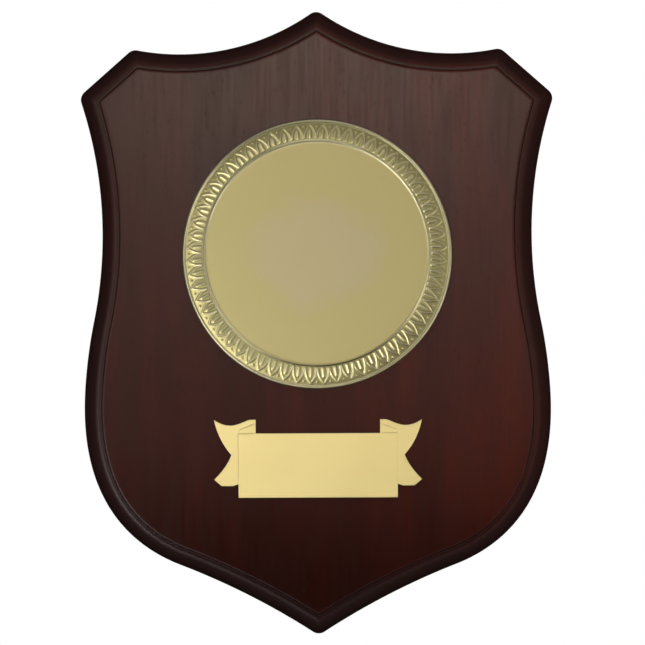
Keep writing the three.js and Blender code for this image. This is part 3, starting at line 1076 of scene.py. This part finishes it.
@dataclass
class BorderDisc:
    """The stamped disc: a rolled rim, a border of leaves and beads, a fine ring and a bare panel.

    The stamp sits a little off the middle of the cut rim, as it does on the real one.
    """

    low: Vector = field(default_factory=lambda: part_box("border_disc")[0])
    high: Vector = field(default_factory=lambda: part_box("border_disc")[1])
    seat_gap: float = 0.02 * MM
    back_ease_width: float = 0.3 * MM
    back_ease_height: float = 0.2 * MM
    rim_width: float = 1.3 * MM
    rim_side: float = 0.95 * MM
    side_share: float = 0.6
    rim_crest: float = 0.65 * MM
    rim_height: float = 1.5 * MM
    border_width: float = 6.4 * MM
    rim_ground: float = 1.15 * MM
    ring_ground: float = 1.7 * MM
    ground_bend: float = 2.0
    ring_fall: float = 0.8 * MM
    ring_height: float = 2.1 * MM
    step_width: float = 0.5 * MM
    edge_height: float = 1.93 * MM
    panel_fall: float = 2.6 * MM
    panel_height: float = 1.95 * MM
    support: float = 0.3 * MM
    roll_rows: int = 8
    slope_rows: int = 5
    ring_rows: int = 6
    pattern_offset: tuple[float, float] = (-0.2 * MM, 0.6 * MM)
    pattern_radius: float = 44.0 * MM
    leaves: int = 60
    leaf_columns: int = 24
    leaf_rows: int = 36
    leaf_relief: float = 0.21 * MM
    leg_foot: float = 0.93
    leg_tip: float = 0.9
    leg_bend: float = 2.2
    leg_radius_foot: float = 0.8 * MM
    leg_radius_tip: float = 0.42 * MM
    leg_sink: float = 0.3
    tongue_top: float = 0.52
    tongue_radius: float = 0.85 * MM
    bead_place: float = 0.81
    bead_radius: float = 0.44 * MM
    bead_relief: float = 0.24 * MM
    foot_round: float = 0.07
    tip_round: float = 0.03
    crease: float = 60.0

    def relief(self, across: Points, along: Points, half_width: Points) -> Points:
        """The stamped relief above the border's ground.

        Each leaf is a pointed arch of two rounded legs that thin towards its tip, with a round-ended
        tongue between them, and a bead sits between the tips of two leaves. All of them are squared
        cosine ridges over the distance to their line, and the highest one counts.

        Args:
            across: The place across a leaf, -1 to 1, with 0 on its middle.
            along: The share from the leaf's foot, 0, to its tip, 1.
            half_width: Half of a leaf's width there, in metres.

        Returns:
            The height above the ground, in metres.
        """
        length = self.border_width
        rise = np.clip(along / self.leg_tip, 0.0, 1.0)
        leg_place = self.leg_foot * (1 - rise**self.leg_bend)
        slope = self.leg_foot * self.leg_bend * rise ** (self.leg_bend - 1) / self.leg_tip
        lean = np.sqrt(1 + (half_width * slope / length) ** 2)
        leg_radius = self.leg_radius_foot + (self.leg_radius_tip - self.leg_radius_foot) * along
        beyond = np.maximum(along - self.leg_tip, 0.0) * length
        leg_distance = np.hypot(half_width * (np.abs(across) - leg_place) / lean, beyond)
        leg = bump(leg_distance, leg_radius) * (1.0 - self.leg_sink * along)
        above = np.maximum(along - self.tongue_top, 0.0) * length
        tongue = bump(np.hypot(half_width * across, above), self.tongue_radius)
        bead_distance = np.hypot(half_width * (1 - np.abs(across)), (along - self.bead_place) * length)
        bead = bump(bead_distance, self.bead_radius) * self.bead_relief / self.leaf_relief
        foot = smooth_step(along, 0.0, self.foot_round)
        tip = smooth_step(1.0 - along, 0.0, self.tip_round)
        return self.leaf_relief * np.maximum.reduce([leg, tongue, bead]) * foot * tip

    @staticmethod
    def slope(start: tuple[float, float], end: tuple[float, float], steps: int) -> Points:
        """Rows between two rings, whose height follows an even S from the first to the second.

        Args:
            start: The first ring's radius and height, which gets no row.
            end: The second ring's radius and height, which gets the last row.
            steps: How many rows there are.

        Returns:
            Two columns: radius and height.
        """
        share = np.linspace(0.0, 1.0, steps + 1)[1:]
        return np.column_stack(
            [
                start[0] + (end[0] - start[0]) * share,
                start[1] + (end[1] - start[1]) * smooth_step(share, 0.0, 1.0),
            ]
        )

    def profile(self) -> tuple[Points, Points, Points]:
        """The disc's rows of points from its back edge over the rim to the panel.

        Returns:
            Each row's radius, its height above the disc's back, and its share along a leaf, which is
            below 0 where the row lies outside the border.
        """
        outer = (self.high.x - self.low.x) / 2
        crest = outer - self.rim_crest
        border_rim = outer - self.rim_width
        border_ring = border_rim - self.border_width
        ring_crest = border_ring - self.ring_fall
        panel_edge = ring_crest - self.step_width
        side = [
            [outer - self.back_ease_width, 0.0],
            [outer, self.back_ease_height],
            [outer, self.rim_side * self.side_share],
        ]
        quarter = np.linspace(0.0, math.pi / 2, self.roll_rows)
        roll = np.column_stack(
            [
                outer - self.rim_crest * (1 - np.cos(quarter)),
                self.rim_side + (self.rim_height - self.rim_side) * np.sin(quarter),
            ]
        )
        cove = self.slope((crest, self.rim_height), (border_rim, self.rim_ground), self.slope_rows)
        along = np.linspace(1.0, 0.0, self.leaf_rows)[1:]
        border = np.column_stack(
            [
                border_ring + self.border_width * along,
                self.ring_ground + (self.rim_ground - self.ring_ground) * along**self.ground_bend,
            ]
        )
        top = (ring_crest, self.ring_height)
        ring = self.slope((border_ring, self.ring_ground), top, self.ring_rows)
        step = self.slope(top, (panel_edge, self.edge_height), self.slope_rows)
        turn = np.linspace(0.0, 1.0, self.slope_rows + 1)[1:]
        edge = np.column_stack(
            [
                panel_edge - self.panel_fall * turn,
                self.edge_height + (self.panel_height - self.edge_height) * np.sin(turn * math.pi / 2),
            ]
        )
        support = [[edge[-1, 0] - self.support, self.panel_height]]
        rows = np.concatenate([side, roll, cove, border, ring, step, edge, support])
        leaf = np.full(len(rows), -1.0)
        first = len(side) + len(roll) + len(cove)
        leaf[first : first + len(border)] = along
        return rows[:, 0], rows[:, 1], leaf

    def build(self) -> bpy.types.Object:
        """Builds the disc and dresses it.

        Returns:
            The piece, which stands for the frame's disc.
        """
        radius, height, along = (row[:, None] for row in self.profile())
        columns = self.leaves * self.leaf_columns
        turn = np.arange(columns)[None, :] / self.leaf_columns
        across = 2.0 * (turn % 1.0) - 1.0
        half_width = radius * math.pi / self.leaves
        relief = np.where(along >= 0, self.relief(across, np.maximum(along, 0.0), half_width), 0.0)
        angle = turn * 2 * math.pi / self.leaves
        plan = np.stack([radius * np.cos(angle), radius * np.sin(angle)], axis=-1)
        back = -self.high.y
        seat = -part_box("shield_board")[0].y + self.seat_gap
        level = back + height + relief
        level[0] = seat
        share = np.clip((radius[0] - radius) / (radius[0] - self.pattern_radius), 0.0, 1.0)
        plan = plan + share[..., None] * np.array(self.pattern_offset)
        plan = plan + np.array([0.0, (self.low.z + self.high.z) / 2])
        points = stand(plan, level)
        rows = points.shape[0]
        faces = ring_quads(rows, columns).tolist()
        faces.append((np.arange(columns) + (rows - 1) * columns).tolist())
        faces.append(np.arange(columns)[::-1].tolist())
        mesh = make_mesh("stamped_border_disc", points, faces)
        # the relief's height, for the finish's painted highlight on the ridges and painted shade in the
        # hollows
        raised = np.where(along >= 0, relief / self.leaf_relief, 1.0).ravel().astype(np.float32)
        mesh.attributes.new(RAISED, "FLOAT", "POINT").data.foreach_set("value", raised)
        piece = make_piece(mesh, self.crease)
        mesh.materials.append(SatinGold().make())
        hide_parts("border_disc")
        return piece


# The scroll


@dataclass
class ScrollPlate:
    """The ribbon scroll: a thin plate with swallow tails, eased edges and engraved fold lines."""

    low: Vector = field(default_factory=lambda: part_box("scroll_plate")[0])
    high: Vector = field(default_factory=lambda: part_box("scroll_plate")[1])
    seat_gap: float = 0.02 * MM
    panel_length: float = 60.1 * MM
    panel_depth: float = 24.3 * MM
    fold_inset: float = 6.6 * MM
    fold_rise: float = 5.2 * MM
    fold_flat: float = 2.0 * MM
    dip_reach: float = 2.95 * MM
    dip_rise: float = 3.0 * MM
    tail_reach: float = 9.2 * MM
    tip_bend_reach: float = 7.5 * MM
    tip_bend_drop: float = 2.6 * MM
    notch_reach: float = 2.65 * MM
    notch_drop: float = 8.1 * MM
    tail_bend_reach: float = 4.5 * MM
    tail_bend_drop: float = 12.9 * MM
    tail_drop: float = 17.4 * MM
    hem_drop: float = 19.85 * MM
    hem_start: float = 2.0 * MM
    hem_end: float = 6.3 * MM
    hem_lift: float = 0.7 * MM
    line_width: float = 0.34 * MM
    line_depth: float = 0.07 * MM
    line_end_gap: float = 0.6 * MM
    curl_foot_rise: float = 2.3 * MM
    curl_bend_rise: float = 1.8 * MM
    curl_end_rise: float = 3.9 * MM
    cutter_reach: float = 1.5
    edge_ease: float = 0.12 * MM
    ease_segments: int = 2
    ease_angle: float = 30.0
    crease: float = 14.0
    steps: int = 24

    def curve(self, *corners: tuple[float, float]) -> Points:
        """Points of a curve through its first and last corner, pulled by the ones between.

        Args:
            corners: Two, three or four corners as x and z.

        Returns:
            Rows of x and z, from the first corner to the last.
        """
        degree = len(corners) - 1
        t = np.linspace(0.0, 1.0, (self.steps if degree > 1 else 1) + 1)[:, None]
        return sum(
            math.comb(degree, i) * (1 - t) ** (degree - i) * t**i * np.array(corner)
            for i, corner in enumerate(corners)
        )

    def outline(self) -> Points:
        """The plate's outline, anticlockwise seen from the front, from the panel's lower right corner.

        Returns:
            Rows of x and z, measured from the middle of the panel's upper edge.
        """
        side = self.panel_length / 2
        straight = [
            [side, -self.panel_depth],
            [side, self.hem_lift - self.hem_drop],
            [side + self.hem_start, -self.hem_drop],
            [side + self.hem_end, -self.hem_drop],
        ]
        lower = self.curve(
            (side + self.tail_reach, -self.tail_drop),
            (side + self.tail_bend_reach, -self.tail_bend_drop),
            (side + self.notch_reach, -self.notch_drop),
        )
        upper = self.curve(
            (side + self.notch_reach, -self.notch_drop),
            (side + self.tip_bend_reach, -self.tip_bend_drop),
            (side + self.tail_reach, self.fold_rise),
        )
        dip = self.curve(
            (side + self.tail_reach, self.fold_rise),
            (side + (self.dip_reach + self.tail_reach) / 2, self.dip_rise),
            (side + self.dip_reach, self.dip_rise),
        )
        fold = self.curve(
            (side + self.dip_reach, self.dip_rise),
            (side, self.dip_rise),
            (side - self.fold_inset / 2, self.fold_rise),
            (side - self.fold_inset + self.fold_flat, self.fold_rise),
        )
        inner = [
            [side - self.fold_inset + self.fold_flat, self.fold_rise],
            [side - self.fold_inset, self.fold_rise],
            [side - self.fold_inset, 0.0],
        ]
        half = np.concatenate([straight, lower[:-1], upper[:-1], dip[:-1], fold[:-1], inner])
        return np.concatenate([half, half[::-1] * [-1, 1]])

    def fold_lines(self, mirror: int) -> list[Points]:
        """The engraved lines of one side: down the panel, along its upper edge, and the curl.

        Args:
            mirror: 1 for the right side, and -1 for the left.

        Returns:
            Each line's rows of x and z, measured from the middle of the panel's upper edge.
        """
        side = self.panel_length / 2
        end = side - self.fold_inset + self.line_end_gap
        foot = self.hem_lift - self.hem_drop + self.line_end_gap
        lines = [
            self.curve((side, self.line_width / 4), (side, foot)),
            self.curve((side, 0.0), (end, 0.0)),
            self.curve(
                (side, 0.0),
                (side, self.curl_foot_rise),
                (side - self.fold_inset / 2, self.curl_bend_rise),
                (end, self.curl_end_rise),
            ),
        ]
        return [line * [mirror, 1] for line in lines]

    def prism(self, name: str, outline: Points, low: float, high: float) -> bpy.types.Object:
        """A straight-sided body over a flat outline, a thousand times its size for a clean cut.

        Args:
            name: The body's name.
            outline: Rows of x and z, anticlockwise seen from the front.
            low: The height of its back.
            high: The height of its front.

        Returns:
            The body's object, whose unit is the millimetre.
        """
        count = len(outline)
        rows = np.concatenate([stand(outline, low), stand(outline, high)]) / MM
        faces = ring_quads(2, count).tolist()
        faces += [np.arange(count)[::-1].tolist(), (np.arange(count) + count).tolist()]
        return add_object(name, make_mesh(name, rows, faces))

    def groove(self, line: Points, front: float) -> bpy.types.Object:
        """The cutter of one engraved line: a V-shaped wedge along it, with its edge in the metal.

        Args:
            line: Rows of x and z along the line.
            front: The height of the plate's front.

        Returns:
            The cutter's object, whose unit is the millimetre.
        """
        way = np.gradient(line, axis=0)
        way /= np.linalg.norm(way, axis=1, keepdims=True)
        beside = np.stack([-way[:, 1], way[:, 0]], axis=1)
        half = self.line_width / 2 * self.cutter_reach
        top = front + self.line_depth * (self.cutter_reach - 1)
        rows = np.stack(
            [
                stand(line + beside * half, top),
                stand(line - beside * half, top),
                stand(line, front - self.line_depth),
            ],
            axis=1,
        )
        count = len(line)
        faces = ring_quads(count, 3).tolist()
        faces += [[2, 1, 0], [3 * count - 3, 3 * count - 2, 3 * count - 1]]
        return add_object("engraver", make_mesh("engraver", rows / MM, faces))

    def build(self) -> bpy.types.Object:
        """Builds the scroll, eases its edges, engraves its lines and dresses it.

        Returns:
            The piece, which stands for the frame's scroll.
        """
        seat = -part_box("shield_board")[0].y + self.seat_gap
        front = -self.low.y
        top = self.high.z - self.fold_rise
        lift = np.array([0.0, top])
        plate = self.prism("scroll_blank", self.outline() + lift, seat, front)
        ease = plate.modifiers.new("eased edges", "BEVEL")
        ease.width = self.edge_ease / MM
        ease.segments = self.ease_segments
        ease.limit_method = "ANGLE"
        ease.angle_limit = math.radians(self.ease_angle)
        lines = self.fold_lines(1) + self.fold_lines(-1)
        cutters = [self.groove(line + lift, front) for line in lines]
        for cutter in cutters:
            cut = plate.modifiers.new("engraving", "BOOLEAN")
            cut.operation = "DIFFERENCE"
            cut.solver = "EXACT"
            cut.object = cutter
        bpy.context.view_layer.update()
        finished = plate.evaluated_get(bpy.context.evaluated_depsgraph_get())
        mesh = bpy.data.meshes.new_from_object(finished)
        mesh.name = "engraved_scroll_plate"
        mesh.transform(Matrix.Scale(MM, 4))
        for body in [plate, *cutters]:
            bpy.data.objects.remove(body)
        piece = make_piece(mesh, self.crease)
        mesh.materials.clear()
        mesh.materials.append(PaleGold().make())
        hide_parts("scroll_plate")
        return piece


# The studio


@dataclass(frozen=True)
class Softbox:
    """A soft light: a glowing rectangle that faces the middle of the plaque."""

    name: str
    place: tuple[float, float, float]
    size: tuple[float, float]
    brightness: float
    colour: Colour = WHITE

    def build(self) -> None:
        """Hangs the light. Its power is its brightness times its area times pi."""
        data = bpy.data.lights.new(self.name, "AREA")
        data.shape = "RECTANGLE"
        data.size, data.size_y = self.size
        data.energy = self.brightness * math.pi * self.size[0] * self.size[1]
        data.color = self.colour
        lamp = add_object(self.name, data)
        lamp.location = self.place
        lamp.rotation_mode = "QUATERNION"
        lamp.rotation_quaternion = (-Vector(self.place)).to_track_quat("-Z", "Y")
        lamp.visible_camera = False


@dataclass
class Studio:
    """The floor, the surroundings, the lights and the camera.

    The camera's sizes are those of the photo: how many pixels it has across, a pixel's size on the
    plaque, where the middle of the plaque's height lies in it, in pixels from its upper left corner,
    and how far the plaque leans in it, in degrees. The distance is the camera's from the field, and
    the scale holds at a height above the wall at about the moulding's foot, where the outline is seen.
    """

    photo_pixels: int = 645
    pixel_size: float = 0.37806 * MM
    sensor: float = 36.0
    distance: float = 3.0
    scale_height: float = 9.0 * MM
    centre: tuple[float, float] = (317.5, 322.5)
    lean: float = 0.24
    floor_level: float = -0.9
    floor_reach: float = 8.0
    room_colour: Colour = (0.95, 0.96, 1.0)
    room_strength: float = 0.03
    backdrop_strength: float = 1.0
    lights: tuple[Softbox, ...] = (
        Softbox("softbox_over_camera", (0.0, -1.55, 0.17), (0.30, 0.10), 8.8, WARM_WHITE),
        Softbox("strip_at_camera", (0.0, -1.55, 0.03), (0.80, 0.12), 1.2, WARM_WHITE),
        Softbox("small_box_lower_left", (-0.22, -0.45, -0.18), (0.15, 0.15), 8.9),
        Softbox("mid_box_lower_left", (-0.30, -0.90, -0.15), (0.20, 0.20), 1.9),
        Softbox("softbox_left_of_camera", (-0.55, -1.45, 0.0), (0.25, 0.50), 3.3),
        Softbox("softbox_right_of_camera", (0.55, -1.45, 0.0), (0.25, 0.50), 1.3),
        Softbox("softbox_left", (-1.25, -0.95, 0.10), (0.70, 0.90), 0.6),
        Softbox("softbox_far_right", (1.40, -0.30, 0.10), (0.70, 0.90), 0.9),
        Softbox("softbox_low_right", (0.90, -0.80, -0.42), (0.60, 0.30), 4.5),
        Softbox("softbox_upper_left", (-0.90, -0.90, 0.90), (0.50, 0.50), 1.0),
        Softbox("softbox_upper_right", (0.90, -0.90, 0.90), (0.50, 0.50), 2.2),
        Softbox("softbox_top", (0.0, -0.50, 1.30), (1.00, 0.50), 1.2),
        Softbox("softbox_top_front", (0.0, -1.10, 0.95), (0.90, 0.40), 0.9),
        Softbox("strip_under_camera", (0.0, -1.40, -0.40), (0.50, 0.14), 1.0),
        Softbox("softbox_behind", (0.20, 1.30, 0.30), (0.30, 0.30), 40.0),
    )

    def build(self) -> None:
        """Sets up everything that isn't the plaque."""
        self.floor()
        self.surroundings()
        for light in self.lights:
            light.build()
        self.camera()
        settings = bpy.context.scene.view_settings
        settings.view_transform = "Standard"
        settings.look = "None"

    def floor(self) -> None:
        """A plain pale floor, well below the hanging plaque, which lights nothing and isn't mirrored."""
        signs = np.array([[-1, -1], [1, -1], [1, 1], [-1, 1]])
        corners = np.column_stack([signs * self.floor_reach, np.full(len(signs), self.floor_level)])
        mesh = make_mesh("studio_floor", corners, [[0, 1, 2, 3]])
        mesh.materials.append(PaleFloor().make())
        floor = add_object("studio_floor", mesh)
        floor.visible_diffuse = False
        floor.visible_glossy = False

    def surroundings(self) -> None:
        """White behind the plaque for the camera, and a dim room for reflections and fill."""
        world = bpy.data.worlds.new("studio_room")
        bpy.context.scene.world = world
        world.use_nodes = True
        nodes, links = world.node_tree.nodes, world.node_tree.links
        nodes.clear()
        path = nodes.new("ShaderNodeLightPath")
        mix = nodes.new("ShaderNodeMixShader")
        output = nodes.new("ShaderNodeOutputWorld")
        sides = [(self.room_colour, self.room_strength), (WHITE, self.backdrop_strength)]
        for place, (colour, strength) in enumerate(sides, start=1):
            side = nodes.new("ShaderNodeBackground")
            side.inputs["Color"].default_value = (*colour, 1.0)
            side.inputs["Strength"].default_value = strength
            links.new(side.outputs[0], mix.inputs[place])
        links.new(path.outputs["Is Camera Ray"], mix.inputs[0])
        links.new(mix.outputs[0], output.inputs["Surface"])

    def camera(self) -> None:
        """A long lens straight in front, turned by the slight lean of the plaque in the photo."""
        data = bpy.data.cameras.new("camera")
        data.sensor_fit = "AUTO"
        data.sensor_width = self.sensor
        width = self.photo_pixels * self.pixel_size
        field_front = -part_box("shield_board")[0].y
        data.lens = self.sensor * (self.distance + field_front - self.scale_height) / width
        camera = add_object("camera", data)
        middle = self.photo_pixels / 2
        lean = math.radians(self.lean)
        across = (middle - self.centre[0]) * self.pixel_size
        up = (self.centre[1] - middle) * self.pixel_size
        camera.location = (
            across * math.cos(lean) + up * math.sin(lean),
            -field_front - self.distance,
            up * math.cos(lean) - across * math.sin(lean),
        )
        camera.rotation_euler = (math.pi / 2, lean, 0.0)
        bpy.context.scene.camera = camera


def main() -> None:
    """Builds the studio and the plaque's pieces in order, and reports each one."""
    logging.basicConfig(level=logging.INFO, format="%(message)s")
    Studio().build()
    for maker in (ShieldBoard(), BorderDisc(), ScrollPlate()):
        piece = maker.build()
        log.info("%s: %d faces", piece.name, len(piece.data.polygons))


if __name__ == "__main__":
    main()
